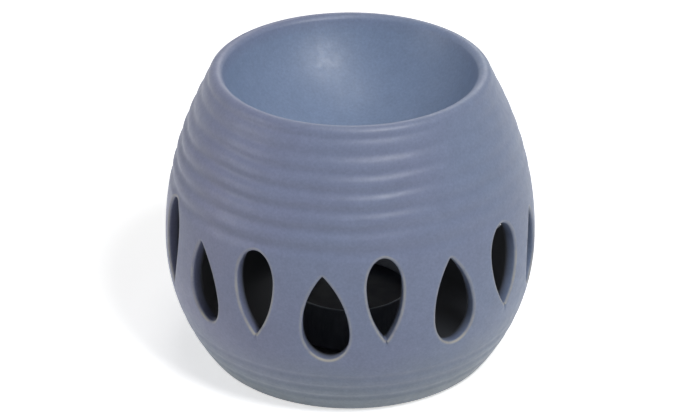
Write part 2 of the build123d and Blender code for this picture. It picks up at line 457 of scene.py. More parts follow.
class Line:
    """Half section of one face of the clay, point by point from the top to the axis."""

    def __init__(self, points, clay_outside=False):
        self.points = np.array(points)
        steps = np.linalg.norm(np.diff(self.points, axis=0), axis=1)
        self.runs = np.concatenate(([0], np.cumsum(steps)))
        self.side = 1 if clay_outside else -1

    def at(self, run, depth=0.0, nudge=1e-5):
        """Radius and height after this run along the line, moved into the clay by the depth."""
        here, past, back = (
            np.array([np.interp(run + step, self.runs, axis) for axis in self.points.T])
            for step in (0.0, nudge, -nudge)
        )
        along = past - back
        along = along / np.maximum(np.linalg.norm(along, axis=0), 1e-12)
        return here[0] - self.side * depth * along[1], here[1] + self.side * depth * along[0]

    def run_at(self, height):
        """Run at which the line comes down to a height; below its floor it goes on along it."""
        lowest = self.points[:, 1].min()
        first = int(np.argmax(self.points[:, 1] <= lowest + 1e-9))
        down = np.interp(-height, -self.points[: first + 1, 1], self.runs[: first + 1])
        return down + np.maximum(lowest - height, 0)


class Section:
    """Half section of the pot and dish, worked out from the pot's settings."""

    band_steps = 14

    def __init__(self, pot):
        self.pot = pot
        self.lip_round = pot.lip_thickness / 2
        self.lip_height = pot.pot_height - self.lip_round
        self.lip_radius = pot.belly_radius - pot.shoulder_draw_in - self.lip_round
        self.seat_height = self.lip_height - pot.lip_band
        squares = self.lip_radius**2 + pot.dish_depth**2 - self.lip_round**2
        self.bowl_arc = squares / (2 * (pot.dish_depth + self.lip_round))
        self.bowl_centre = (0, self.lip_height - pot.dish_depth + self.bowl_arc)
        drop = self.bowl_centre[1] - self.seat_height
        dish_radius = math.sqrt((self.bowl_arc + pot.dish_wall) ** 2 - drop**2)
        self.hole_radius = dish_radius + pot.dish_gap
        self.shoulder_arc = arc_radius(pot.shoulder_draw_in, self.lip_height - pot.belly_height)
        self.lower_arc = arc_radius(pot.foot_draw_in, pot.belly_height)
        self.shoulder_centre = (pot.belly_radius - self.shoulder_arc, pot.belly_height)
        self.lower_centre = (pot.belly_radius - self.lower_arc, pot.belly_height)

    def lean(self, height):
        """Degrees by which the shoulder leans in at this height."""
        return math.degrees(math.asin((height - self.pot.belly_height) / self.shoulder_arc))

    def lower_corner(self, arc, round_size, height):
        """Centre of the round that ends a lower wall, and the degrees at which it begins."""
        reach, drop = arc - round_size, self.lower_centre[1] - height
        centre = (self.lower_centre[0] + math.sqrt(reach**2 - drop**2), height)
        return centre, -math.degrees(math.asin(drop / reach))

    def outside(self):
        """From the seat of the dish down the wall, round the heel and in to the axis."""
        heel_round, top = self.pot.heel_round, self.lean(self.seat_height)
        points = turned(self.shoulder_centre, self.shoulder_arc, top, 0, steps=160)
        heel, lean = self.lower_corner(self.lower_arc, heel_round, heel_round)
        points += turned(self.lower_centre, self.lower_arc, 0, lean, steps=90)[1:]
        points += turned(heel, heel_round, lean, -90, steps=24)[1:]
        return Line(points + [(heel[0] * share, 0) for share in (0.92, 0.6, 0.3, 0)])

    def inside(self):
        """From the seat down the mouth, the inner wall and its corner, and in to the axis."""
        wall, floor, floor_corner = self.pot.wall, self.pot.floor, self.pot.floor_corner
        upper, lower = self.shoulder_arc - wall, self.lower_arc - wall
        mouth = math.degrees(math.acos((self.hole_radius - self.shoulder_centre[0]) / upper))
        points = [(self.hole_radius, self.seat_height)]
        points += turned(self.shoulder_centre, upper, mouth, 0, steps=120)
        corner, lean = self.lower_corner(lower, floor_corner, floor + floor_corner)
        points += turned(self.lower_centre, lower, 0, lean, steps=60)[1:]
        points += turned(corner, floor_corner, lean, -90, steps=40)[1:]
        points += [(corner[0] * share, floor) for share in (0.85, 0.5, 0.25, 0)]
        return Line(points, clay_outside=True)

    def dish(self):
        """Up the underside of the dish to its seat, then over the lip and down to the axis."""
        centre, arc, under = self.bowl_centre, self.bowl_arc, self.bowl_arc + self.pot.dish_wall
        seat_turn = math.degrees(math.acos((centre[1] - self.seat_height) / under))
        below = turned(centre, under, -90, seat_turn - 90, steps=48)
        top, lip_lean = self.lean(self.seat_height), self.lean(self.lip_height)
        seat = turned(self.shoulder_centre, self.shoulder_arc, top, top, steps=0)[0]
        rim_turn = math.degrees(math.asin((arc - self.pot.dish_depth) / (arc + self.lip_round)))
        lip_centre = (self.lip_radius, self.lip_height)
        lip = turned(lip_centre, self.lip_round, lip_lean, 180 - rim_turn, steps=22)
        band = bend(seat, top + 90, lip[0], lip_lean + 90, self.band_steps)
        return below, band + lip[1:] + turned(centre, arc, -rim_turn, -90, steps=56)[1:]


class Cut:
    """Outline cut through the wall with an upright knife: points and the way out at each."""

    def __init__(self, bearing, height, turn, points, ways, outer_round, inner_rounds):
        self.bearing, self.height, self.turn = bearing, height, turn
        self.points, self.ways = np.array(points), np.array(ways)
        self.outer_rounds, self.inner_rounds = np.full(len(points), outer_round), inner_rounds
        # How deep the knife mark is at each point, and how far out there is room for rows
        self.slit, self.room = np.zeros(len(points)), 1.0

    def on(self, line, spread):
        """Bearing and run on a face of the clay of the outline grown by the spread."""
        across, up = (self.points + self.ways * np.reshape(spread, (-1, 1))).T
        side = across * math.cos(self.turn) - up * math.sin(self.turn)
        run = line.run_at(self.height + across * math.sin(self.turn) + up * math.cos(self.turn))
        return self.bearing + np.arcsin(side / line.at(run)[0]), run

    def gap_to(self, line, bearings, runs):
        """How far places on a face lie outside the outline, negative inside it."""
        radius, height = line.at(runs)
        turn = (bearings - self.bearing + math.pi) % (2 * math.pi) - math.pi
        side, rise = radius * np.sin(turn), height - self.height
        across = side * math.cos(self.turn) + rise * math.sin(self.turn)
        up = rise * math.cos(self.turn) - side * math.sin(self.turn)
        here = np.stack([across, up], axis=1)[:, None, :]
        inside = ((here - self.points[None]) * self.ways[None]).sum(axis=2).max(axis=1) < 0
        away = np.linalg.norm(here - self.points[None], axis=2).min(axis=1)
        return np.where(np.abs(turn) < math.pi / 2, np.where(inside, -away, away), 1.0)


def drop_cut(drops, bearing, points_up, foot_share, length_share, width_share, lean):
    """One drop: half an ellipse below, two arcs that meet in a softened tip."""
    length, half = length_share * drops.length, width_share * drops.width / 2
    belly = drops.round_share * length
    widest = belly - length / 2
    side = arc_radius(half, length - belly)
    tip_height = widest + math.sqrt((side - drops.tip_round) ** 2 - (side - half) ** 2)
    tip_angle = math.degrees(math.atan2(tip_height - widest, side - half))
    points, ways = [], []
    for angle in np.radians(np.linspace(-90, 0, 17)):
        points.append((half * math.cos(angle), widest + belly * math.sin(angle)))
        way = np.array([math.cos(angle) / half, math.sin(angle) / belly])
        ways.append(tuple(way / np.linalg.norm(way)))
    right = fan((half - side, widest), side, 0, tip_angle, steps=15)
    points, ways = points + right[0][1:-1], ways + right[1][1:-1]
    tip_steps = 8
    tip = fan((0, tip_height), drops.tip_round, tip_angle, 180 - tip_angle, tip_steps)
    tip_middle = len(points) + tip_steps // 2
    left = [[(-x, y) for x, y in part[:0:-1]] for part in (points, ways)]
    points, ways = points + tip[0] + left[0], ways + tip[1] + left[1]
    turn = math.radians(lean if points_up else lean + 180)
    height = drops.row_foot + foot_share * drops.length + length / 2
    rounds = np.full(len(points), drops.inner_round)
    cut = Cut(math.radians(bearing), height, turn, points, ways, drops.edge_round, rounds)
    if not points_up:
        # The knife ran on a little past a tip that points down
        cut.slit[tip_middle - 1 : tip_middle + 2] = (0.25, 1.0, 0.25)
    return cut


def arch_cut(drops, floor):
    """Opening at the back: upright sides under a round head, its sill flush with the floor."""
    half, straight, corner, sill_round = drops.arch_half_width, drops.arch_straight, 0.0012, 0.00004

    def upright(x, way, start, end):
        heights = np.linspace(start, end, 12)[1:-1]
        return [(x, y) for y in heights], [(way, 0)] * len(heights)

    sill = [(x, 0) for x in np.linspace(-half + corner, half - corner, 31)[1:-1]]
    points, ways = [], []
    for part_points, part_ways in (
        (sill, [(0, -1)] * len(sill)),
        fan((half - corner, corner), corner, -90, 0, steps=6),
        upright(half, 1, corner, straight),
        fan((0, straight), half, 0, 180, steps=54),
        upright(-half, -1, straight, corner),
        fan((corner - half, corner), corner, 180, 270, steps=6),
    ):
        points += part_points
        ways += part_ways
    rounds = sill_round + drops.inner_round * np.clip(np.array(ways)[:, 1] + 1, 0, 1)
    cut = Cut(math.pi, floor, 0.0, points, ways, drops.edge_round, rounds)
    cut.room = INNER_ROWS[-1][0]
    return cut


class Blank:
    """Clay laid out flat before it goes on the wheel: bearing, radius and height as x, y and z."""

    def __init__(self):
        self.places, self.faces = [], []
        # inner marks where the dark inside colour goes, which is painted shade
        self.values = {"press": [], "edge": [], "inner": []}

    def add(self, bearing, radius, height, **values):
        """Adds places and returns the index of the first."""
        first = len(self.places)
        count = max(np.size(bearing), np.size(height))
        self.places.extend(zip(*(np.broadcast_to(v, count) for v in (bearing, radius, height))))
        for name, kept in self.values.items():
            kept.extend(np.broadcast_to(values.get(name, 0.0), count))
        return first

    def grid(self, line, runs, **values):
        """Quads all round over a stretch of a face of the clay."""
        rows = []
        for index, run in enumerate(runs):
            row_values = {k: (v[index] if np.ndim(v) else v) for k, v in values.items()}
            rows.append(self.add(COLUMNS, *line.at(run), **row_values))
        self.strips(rows, len(COLUMNS))

    def ledge(self, height, start_radius, end_radius, **ends):
        """Level ring of quads; each value goes from the first to the second of its pair."""
        rows = []
        for share in (0, 0.5, 1):
            radius = start_radius * (1 - share) + end_radius * share
            values = {name: a + (b - a) * share for name, (a, b) in ends.items()}
            rows.append(self.add(COLUMNS, radius, height, **values))
        self.strips(rows, len(COLUMNS))

    def strips(self, rows, width, closed=False):
        """Quads between rows of equal width."""
        last = width if closed else width - 1
        for upper, lower in zip(rows, rows[1:]):
            for j in range(last):
                k = (j + 1) % width
                self.faces.append((upper + j, upper + k, lower + k, lower + j))

    def mesh(self, name):
        mesh = bpy.data.meshes.new(name)
        mesh.from_pydata([tuple(map(float, p)) for p in self.places], [], self.faces)
        for label, kept in self.values.items():
            layer = mesh.attributes.new(label, "FLOAT", "POINT")
            layer.data.foreach_set("value", np.array(kept, np.float32))
        return mesh


def pierced_band(blank, line, runs, cuts, slit_depth, squeeze, outside):
    """Triangles over a stretch of a face of the clay, with the outlines of the cuts left open.

    The squeeze is the radius at which bearings are laid out flat.
    """
    slit_reach, slit_fading, net_gap, tiny = 0.0026, 1.5, 0.0005, 1e-9
    rows = OUTER_ROWS if outside else INNER_ROWS
    press, inner = (1.0, 0.0) if outside else (0.0, 1.0)
    places, edges, kept_slit, kept_edge = [], [], [], []

    def keep(bearing, run, slit=0.0, edge=0.0):
        first = len(places)
        count = max(np.size(bearing), np.size(run))
        places.extend(zip(np.broadcast_to(bearing, count), np.broadcast_to(run, count)))
        kept_slit.extend(np.broadcast_to(slit, count))
        kept_edge.extend(np.broadcast_to(edge, count))
        return first

    def rounds(cut):
        return cut.outer_rounds if outside else cut.inner_rounds

    # Rows round each cut, of which the first is its edge
    outline_of = {}
    for number, cut in enumerate(cuts):
        count = len(cut.points)
        for level, (spread, edge) in enumerate(row for row in rows if row[0] < cut.room):
            bearing, run = cut.on(line, rounds(cut) + spread)
            bearing = COLUMNS[0] + (bearing - COLUMNS[0]) % (2 * math.pi)
            fading = press * max(0.0, 1 - spread / slit_reach) ** slit_fading
            first = keep(bearing, run, cut.slit * fading, edge)
            if level == 0:
                edges.extend((first + j, first + (j + 1) % count) for j in range(count))
                outline_of.update({first + j: number for j in range(count)})

    # Border of the band, and the net of points that keeps clear of the cuts
    top, foot = keep(COLUMNS, runs[0]), keep(COLUMNS, runs[-1])
    left, right = keep(COLUMNS[0], runs[1:-1]), keep(COLUMNS[-1], runs[1:-1])
    across, down = range(len(COLUMNS)), range(len(runs) - 2)
    border = [top + j for j in across] + [right + j for j in down]
    border += [foot + j for j in reversed(across)] + [left + j for j in reversed(down)]
    edges.extend(zip(border, border[1:] + border[:1]))
    net_bearings, net_runs = (part.ravel() for part in np.meshgrid(COLUMNS[1:-1], runs[1:-1]))
    clear = np.ones(len(net_runs), bool)
    reach = rows[-1][0] + net_gap
    for cut in cuts:
        clear &= cut.gap_to(line, net_bearings, net_runs) > rounds(cut).max() + reach
    keep(net_bearings[clear], net_runs[clear])

    flat = [Vector((b * squeeze, r)) for b, r in places]
    made = delaunay_2d_cdt(flat, edges, [], 1, tiny, True)
    source = [sources[0] if sources else None for sources in made[3]]
    if None in source:
        raise RuntimeError("outlines cross each other on the wall")
    placed = np.array(places)
    radius, height = line.at(placed[:, 1], np.array(kept_slit) * slit_depth)
    first = blank.add(placed[:, 0], radius, height, press=press, edge=kept_edge, inner=inner)
    for face in made[2]:
        corners = [source[index] for index in face]
        holes = {outline_of.get(index) for index in corners}
        in_cut = len(holes) == 1 and None not in holes
        if not in_cut and np.ptp(placed[corners], axis=0).min() >= tiny:
            blank.faces.append(tuple(first + index for index in corners))


def cut_walls(blank, outer, inner, cut, slit_depth):
    """Softened outer edge, knife face and softened inner edge of one cut."""

    def edge_row(line, round_sizes, angle, **values):
        bearing, run = cut.on(line, round_sizes * (1 - math.sin(angle)))
        depth = round_sizes * (1 - math.cos(angle))
        if line is outer:
            depth = depth + cut.slit * slit_depth
        return bearing, *line.at(run, depth), values

    def upright(bearing, radius, height, _):
        return np.stack([radius * np.sin(bearing), -radius * np.cos(bearing), height], axis=1)

    rows, inner_rows = [], []
    for angle, edge in zip(np.radians(np.linspace(0, 90, 6)), OUTER_EDGE_CREAM):
        rows.append(edge_row(outer, cut.outer_rounds, angle, press=math.cos(angle), edge=edge))
    for angle, edge in zip(np.radians(np.linspace(90, 0, 5)), INNER_EDGE_CREAM):
        inner_rows.append(edge_row(inner, cut.inner_rounds, angle, edge=edge, inner=1.0))
    start, end = upright(*rows[-1]), upright(*inner_rows[0])
    for share in FACE_ROWS:
        x, y, height = (start * (1 - share) + end * share).T
        # Across the knife face the dark inside colour comes in, as painted shade towards the inside
        values = {"edge": 0.25 * (1 - share), "inner": share**2}
        rows.append((np.arctan2(x, -y), np.hypot(x, y), height, values))
    rows = [blank.add(*place, **values) for *place, values in rows + inner_rows]
    blank.strips(rows, len(cut.points), closed=True)


def wheel_values(section, rings, material):
    """Inputs of the wheel's tree, named as in the settings."""
    values = {name: getattr(rings, name) for name in RingSettings.__annotations__}
    values["belly_height"] = section.pot.belly_height
    for name in ("shoulder_arc", "lower_arc", "seat_height"):
        values[name] = getattr(section, name)
    return {**values, "material": material}


def ring_grooves(g, given, spun, bearing, height):
    """Depth of the throwing rings, as a share of the deepest groove."""
    # How many rings down this height is, counted from the seat; each ring is wider than the last
    down = (given["seat_height"] - height) / given["pitch"]
    half_growth = given["growth"] * 0.5
    first = 1.0 - half_growth
    root = g.math("SQRT", first * first + half_growth * down * 4.0)
    turns = (root - first) / given["growth"]

    # The rings wander up and down, but not where they cross the joint
    wander = g.noise(spun, cells=26.0, detail=1.0, seed=given["seed"]) - 0.5
    steady = g.ranged(turns, 0.0, 1.2)
    ring = turns + wander * given["waver"] * (steady * 2.0)

    # Grooves are a little narrower than the rolls between them, and weaker near the lip
    wave = g.crests(ring * (2 * math.pi), sharpness=1.35)
    above = g.ranged(ring, -0.7, 2.5, 0.45, 1.0) * g.math("GREATER_THAN", ring, -1.5)
    below = g.math("LESS_THAN", ring, given["count"] - 0.5)
    share_down = ring / given["count"]
    fading = g.math("SUBTRACT", 1.0, share_down * given["fade"], clamp=True)

    # They are weaker on one side, and uneven
    side = g.math("COSINE", bearing - given["deep_bearing"])
    strong = g.ranged(side, -0.75, 0.9, given["weak_share"], 1.0, smooth=True)
    uneven = g.varied(spun, 0.82, 1.12, cells=38.0, detail=1.0, seed=9.0)
    return wave * above * (below * fading) * (strong * uneven)


def foot_grooves(g, given, spun, height):
    """Depth of the fine rings at the foot, as a share of the deepest."""
    low = (height - given["foot_height"]) / given["foot_pitch"]
    nearest = g.math("MAXIMUM", g.math("ROUND", low), 0.0)
    nearest = g.math("MINIMUM", nearest, given["foot_count"] - 1.0)
    off = (low - nearest) * given["foot_pitch"] / (given["foot_width"] * 0.5)
    dip = g.math("SUBTRACT", 1.0, off * off, clamp=True)
    return dip * g.varied(spun, 0.5, 1.1, cells=30.0, detail=1.0, seed=2.0)


def wheel_tree(values):
    """Turns a flat blank round the axis and presses the throwing rings into its outer face."""
    tree, g, given = new_geometry_tree("Throw on the wheel", values)
    bearing, radius, height = g.place()
    sine, back = g.math("SINE", bearing), g.math("COSINE", bearing) * -1.0
    spun = g.joined(radius * sine, radius * back, height)
    wave = ring_grooves(g, given, spun, bearing, height)
    dip = foot_grooves(g, given, spun, height)
    press = g.painted("press")
    deep = g.math("MULTIPLY_ADD", dip, given["foot_depth"], wave * given["depth"])
    stray = g.noise(spun, cells=14.0, detail=1.0, seed=6.0) * given["hand"]
    deep = (deep + stray) * press

    # Square to the wall at this height
    rise = height - given["belly_height"]
    upper = g.math("GREATER_THAN", rise, 0.0)
    lower_part = given["lower_arc"] * (1.0 - upper)
    lean = g.math("ARCSINE", rise / g.math("MULTIPLY_ADD", given["shoulder_arc"], upper, lower_part))
    flat = g.math("COSINE", lean)
    out = g.joined(flat * sine, flat * back, g.math("SINE", lean))
    dent = g.made("ShaderNodeVectorMath", {0: out, "Scale": deep}, operation="SCALE")
    pressed = g.moved(given["Geometry"], g.vector("SUBTRACT", spun, dent))
    values = {"Geometry": pressed, "Name": "groove", "Value": (wave + dip) * press}
    kind = {"data_type": "FLOAT", "domain": "POINT"}
    stored = g.made("GeometryNodeStoreNamedAttribute", values, **kind)
    g.close(stored, given["material"])
    return tree


def new_material(name):
    """A material, its graph and the place on the piece."""
    material = bpy.data.materials.new(name)
    material.use_nodes = True
    material.node_tree.nodes.clear()
    graph = Graph(material.node_tree)
    return material, graph, graph.made("ShaderNodeTexCoord", output="Object")


def glaze(settings):
    """Matt stoneware glaze: mottled, speckled, paler where it broke over edges, clay inside, with
    painted light and shade: lighter on the right and in the dish, cream strongest on up-facing edges,
    the inside clay darkened.
    """
    material, g, place = new_material("matt_stoneware_glaze")
    x, y, z = g.split(place)

    def height_with(sway, **noise):
        """Height above the table, with a sway from a noise."""
        return g.math("MULTIPLY_ADD", g.noise(place, **noise), sway, z)

    # Large patches go from purplish on the left to bluer on the right; the bluer colour is also
    # lighter, which is painted light on the right side and painted shade on the left
    patches = g.noise(place, cells=34.0, detail=3.0, seed=1.0) * 1.1
    tint_and_side_light = g.math("MULTIPLY_ADD", x, 9.0, patches)
    colour = g.mixed(g.ranged(tint_and_side_light, -0.1, 1.05), settings.warm, settings.cool)
    colour = g.mixed(0.4, colour, settings.body)

    # The glaze is bluer where it pooled in the dish, and lighter there as painted light; it turns
    # greenish grey towards the foot
    from_axis = g.vector("LENGTH", g.joined(x, y, 0.0), output="Value")
    bowl = g.ranged(from_axis, 0.0355, 0.0385, 1.0, 0.0) * g.ranged(z, 0.055, 0.06)
    colour = g.mixed(bowl, colour, settings.bowl)
    greyer_height = height_with(0.012, cells=60.0, detail=2.0, seed=3.0)
    colour = g.mixed(g.ranged(greyer_height, 0.008, 0.03, 0.85, 0.0), colour, settings.thin)

    # Cloudy mottling, fine grain and a few specks
    cloud = g.varied(place, 0.93, 1.07, 0.25, cells=210.0, detail=4.0, seed=5.0, roughness=0.6)
    grain = g.varied(place, 0.87, 1.13, 0.3, cells=1300.0, detail=2.0, seed=7.0, roughness=0.6)
    colour = g.toned(g.toned(colour, cloud), grain)
    speck = g.made("ShaderNodeTexVoronoi", {"Vector": place, "Scale": 420.0}, "Distance")
    speck_colour, groove_colour = ([c * dark for c in settings.body] for dark in (0.5, 0.72))
    colour = g.mixed(g.ranged(speck, 0.05, 0.16, 0.14, 0.0), colour, speck_colour)

    # It is darker in the grooves and breaks cream over the cut edges; the cream is strongest where
    # the edges face up, which is painted highlight from the lamps above on top of the real break
    colour = g.mixed(g.ranged(g.worn("groove"), 0.1, 1.0, 0.0, 0.16), colour, groove_colour)
    broken = g.noise(place, cells=240.0, detail=3.0, seed=8.0)
    facing_up = g.split(g.made("ShaderNodeNewGeometry", output="Normal"))[2]
    edge = g.ranged(g.worn("edge"), 0.3, 1.0) * g.ranged(broken, 0.32, 0.6, 0.3, 1.0)
    edge = edge * g.ranged(facing_up, -0.1, 0.5, 0.3, 1.0)
    colour = g.mixed(edge, colour, settings.edge)

    # Clay shows inside and under the foot; the inside clay is far darker than the bare clay, as
    # painted shade of the closed pot
    inner, inside_roughness = g.worn("inner"), 0.85
    colour = g.mixed(inner, colour, settings.inside)
    bare_height = height_with(0.0004, cells=150.0, detail=2.0, seed=4.0)
    colour = g.mixed(g.ranged(bare_height, 0.00035, 0.0006, 1.0, 0.0), colour, settings.clay)
    rough = g.varied(place, -0.06, 0.06, cells=420.0, detail=3.0, seed=2.0) + settings.roughness
    rough = g.math("MAXIMUM", rough, inner * inside_roughness)

    # Fine turning lines run round the pot under a slightly pitted surface
    lines = g.noise(place, cells=(60.0, 60.0, 1400.0), detail=2.0, seed=3.0)
    pits = g.noise(place, cells=900.0, detail=3.0, seed=6.0, roughness=0.65)
    swell = g.noise(place, cells=190.0, detail=2.0, seed=1.0)
    relief = g.math("MULTIPLY_ADD", swell, 0.9, g.math("MULTIPLY_ADD", lines, 0.25, pits * 0.35))
    values = {"Base Color": colour, "Roughness": rough, "Specular IOR Level": 0.6}
    g.coat(values, relief, Strength=0.55, Distance=0.00012)
    return material


def foil(settings):
    """Thin aluminium with drawing marks."""
    material, g, place = new_material("drawn_foil")
    tone = g.varied(place, 0.88, 1.04, cells=300.0, detail=3.0, seed=2.0)
    rough = g.varied(place, 0.42, 0.58, cells=500.0, detail=2.0, seed=4.0)
    marks = g.noise(place, cells=(300.0, 300.0, 3000.0), detail=2.0, seed=3.0)
    values = {"Base Color": g.toned(settings.foil, tone), "Metallic": 0.45, "Roughness": rough}
    g.coat(values, marks, Strength=0.3, Distance=0.00004)
    return material


def paraffin(settings):
    """Soft translucent wax with a faint frost."""
    material, g, place = new_material("paraffin_wax")
    frost = g.varied(place, 0.94, 1.03, cells=260.0, detail=4.0, seed=2.0)
    # The wax's dark colour is painted shade of the pot's inside
    values = {
        "Base Color": g.toned(settings.wax, frost),
        "Roughness": g.varied(place, 0.55, 0.7, cells=400.0, detail=2.0, seed=1.0),
        "Specular IOR Level": 0.2,
        "Subsurface Weight": 0.35,
        "Subsurface Radius": (0.004, 0.0036, 0.003),
        "Subsurface Scale": 0.6,
    }
    skin = g.noise(place, cells=500.0, detail=3.0, seed=5.0)
    g.coat(values, skin, Strength=0.2, Distance=0.0001)
    return material


def yarn(settings):
    """Waxed cotton: fibres along the strand."""
    material, g, place = new_material("waxed_cotton")
    fibre = g.noise(place, cells=(6000.0, 6000.0, 900.0), detail=2.0, seed=3.0)
    tone = g.ranged(fibre, 0.3, 0.7, 0.82, 1.05)
    values = {"Base Color": g.toned(settings.cotton, tone), "Roughness": 0.8}
    g.coat(values, fibre, Strength=0.5, Distance=0.00008)
    return material


def tinplate(settings):
    """Stamped tinplate, a little dull."""
    material, g, place = new_material("stamped_tinplate")
    tone = g.varied(place, 0.85, 1.0, cells=600.0, detail=3.0, seed=2.0)
    rough = g.varied(place, 0.32, 0.5, cells=900.0, detail=2.0, seed=4.0)
    g.coat({"Base Color": g.toned(settings.tin, tone), "Metallic": 1.0, "Roughness": rough})
    return material


def kept_material(name, make, settings):
    """The material of that name, made the first time it is asked for."""
    return bpy.data.materials.get(name) or make(settings)


def thrown(name, blank, section):
    """Puts a blank on the wheel and returns the closed and glazed piece."""
    scene = bpy.context.scene
    material = kept_material("matt_stoneware_glaze", glaze, scene.burner_glaze)
    values = wheel_values(section, scene.burner_rings, material)
    tree = bpy.data.node_groups.get("Throw on the wheel") or wheel_tree(values)
    return weld(run_tree(name, blank.mesh(name + "_clay"), tree, values))


class BURNER_OT_throw_pot(bpy.types.Operator):
    """Throws the pot, cuts the drops and the rear opening and softens their edges"""

    bl_idname = "burner.throw_pot"
    bl_label = "Throw and pierce the pot"

    def execute(self, context):
        pot, drops = context.scene.burner_pot, context.scene.burner_drops
        section, blank = Section(pot), Blank()
        outer, inner = section.outside(), section.inside()
        cuts = [drop_cut(drops, *row) for row in DROPS] + [arch_cut(drops, pot.floor)]
        # The cuts lie between the first two heights. Below the third the net is finer, for the
        # fine rings at the foot.
        top_height, foot_height, fine_height = 0.0605, 0.0016, 0.018
        crease, heel_gap, floor_reach = 0.00006, 0.0002, 0.005
        squeeze = 0.45 * pot.belly_radius

        # Outer face: even rows through the rings, pierced band, heel and base
        top, foot, fine = (outer.run_at(h) for h in (top_height, foot_height, fine_height))
        rings = np.concatenate(([0, crease], np.linspace(0, top, 68)[1:]))
        blank.grid(outer, rings, press=1.0)
        band = np.concatenate((np.linspace(top, fine, 49), np.linspace(fine, foot, 40)[1:]))
        pierced_band(blank, outer, band, cuts, drops.slit_depth, squeeze, outside=True)
        heel = np.linspace(foot, outer.run_at(0) - heel_gap, 12)
        blank.grid(outer, heel, press=np.linspace(1, 0, 12) ** 2)
        blank.grid(outer, np.concatenate(([heel[-1]], outer.runs[-5:])))

        # Inner face: shoulder, pierced wall and floor
        high = np.linspace(inner.runs[1], inner.run_at(top_height), 22)
        blank.grid(inner, np.concatenate(([0], high)), inner=1.0)
        low = np.linspace(high[-1], inner.run_at(pot.floor) + floor_reach, 60)
        pierced_band(blank, inner, low, cuts, drops.slit_depth, squeeze, outside=False)
        blank.grid(inner, np.concatenate(([low[-1]], inner.runs[-4:])), inner=1.0)

        # Seat of the dish, and the faces of the cuts
        radii = outer.points[0][0], inner.points[0][0]
        blank.ledge(section.seat_height, *radii, press=(1.0, 0.0), inner=(0.0, 1.0))
        for cut in cuts:
            cut_walls(blank, outer, inner, cut, drops.slit_depth)

        piece = thrown("stoneware_pot", blank, section)
        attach(piece, "burner")
        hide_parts("burner_body")
        return {"FINISHED"}


class BURNER_OT_set_dish(bpy.types.Operator):
    """Throws the oil dish with its rolled lip and sets it in the mouth of the pot"""

    bl_idname = "burner.set_dish"
    bl_label = "Set the oil dish"

    def execute(self, context):
        section, blank = Section(context.scene.burner_pot), Blank()
        below, above = section.dish()
        hidden, shown = Line(below + [above[0]]), Line(above)
        blank.grid(hidden, hidden.runs[:-1], inner=1.0)
        blank.ledge(section.seat_height, below[-1][0], above[0][0], press=(0.0, 1.0))

        # The rings fade out over the lip
        crease, fade_top, fade_height = 0.00006, 0.0008, 0.0012
        runs = np.concatenate(([0, crease], shown.runs[1:]))
        heights = np.interp(runs, shown.runs, shown.points[:, 1])
        press = np.clip((section.lip_height + fade_top - heights) / fade_height, 0, 1)
        press = press * (runs < shown.runs[section.band_steps + 1])
        press[:2] = 1.0
        blank.grid(shown, runs, press=press)

        piece = thrown("oil_dish_with_lip", blank, section)
        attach(piece, "burner")
        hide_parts("oil_dish")
        return {"FINISHED"}


def pleat_tree(values):
    """Turns a flat blank round the axis and pleats it where it is painted to."""
    tree, g, given = new_geometry_tree("Draw and pleat", values)
    bearing, radius, height = g.place()
    fold = 1.0 - g.crests(bearing * given["flutes"], sharpness=0.6)
    radius = radius - fold * g.painted("press") * given["flute_depth"]
    x = radius * g.math("SINE", bearing)
    y = radius * (g.math("COSINE", bearing) * -1.0)
    g.close(g.moved(given["Geometry"], g.joined(x, y, height)), given["material"])
    return tree


def cup_section(radius, foot, rim, skin):
    """Inner face of the cup: the rolled rim, the wall and the stamped bottom, in to the axis."""
    roll_inset, roll_round, corner_inset, corner_round = 0.00052, 0.00028, 0.0011, 0.0012
    wall_top, wall_foot = (radius - 0.0009, rim - 0.0007), (radius - 0.0015, foot + 0.0016)
    flat, stamped = foot + skin, foot + skin + 0.0003
    points = turned((radius - roll_inset, rim - roll_inset), roll_round, -60, 150, steps=10)
    points += bend(points[-1], 240, wall_top, 262, steps=4)[1:]
    for share in (0.25, 0.5, 0.75):
        points.append(tuple(np.array(wall_top) * (1 - share) + np.array(wall_foot) * share))
    corner = (wall_foot[0] - corner_inset, flat + corner_round)
    points += turned(corner, corner_round, -4, -90, steps=8)
    points += [(0.0132, flat), (0.0126, stamped), (0.0116, stamped), (0.011, flat)]
    return points + [(0.007, flat), (0.0, flat)]


class BURNER_OT_draw_cup(bpy.types.Operator):
    """Draws the foil cup of the tealight, with its pleats, rolled rim and stamped bottom"""

    bl_idname = "burner.draw_cup"
    bl_label = "Draw the tealight cup"

    def execute(self, context):
        settings = context.scene.burner_tealight
        low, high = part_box("tealight_cup")
        radius, foot, rim = high.x, low.z, high.z
        line = Line(cup_section(radius, foot, rim, settings.skin), clay_outside=True)
        face, back = ([line.at(run, depth) for run in line.runs] for depth in (0.0, settings.skin))
        back[-1] = (0.0, back[-1][1])
        columns_to_pleat = 6
        columns = np.linspace(0, 2 * math.pi, settings.flutes * columns_to_pleat + 1)
        pleat_foot, pleat_top, pleat_reach = foot + 0.002, rim - 0.0012, 0.015
        blank, rows = Blank(), []
        for ring, height in face + back[::-1]:
            press = float(pleat_foot < height < pleat_top and ring > pleat_reach)
            rows.append(blank.add(columns, ring, height, press=press))
        blank.strips(rows[: len(face)], len(columns))
        blank.strips(rows[len(face) :] + [rows[0]], len(columns))
        values = {name: getattr(settings, name) for name in ("flutes", "flute_depth")}
        values["material"] = kept_material("drawn_foil", foil, settings)
        piece = weld(run_tree("foil_cup", blank.mesh("cup_blank"), pleat_tree(values), values))
        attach(piece, "tealight")
        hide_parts("tealight_cup")
        return {"FINISHED"}


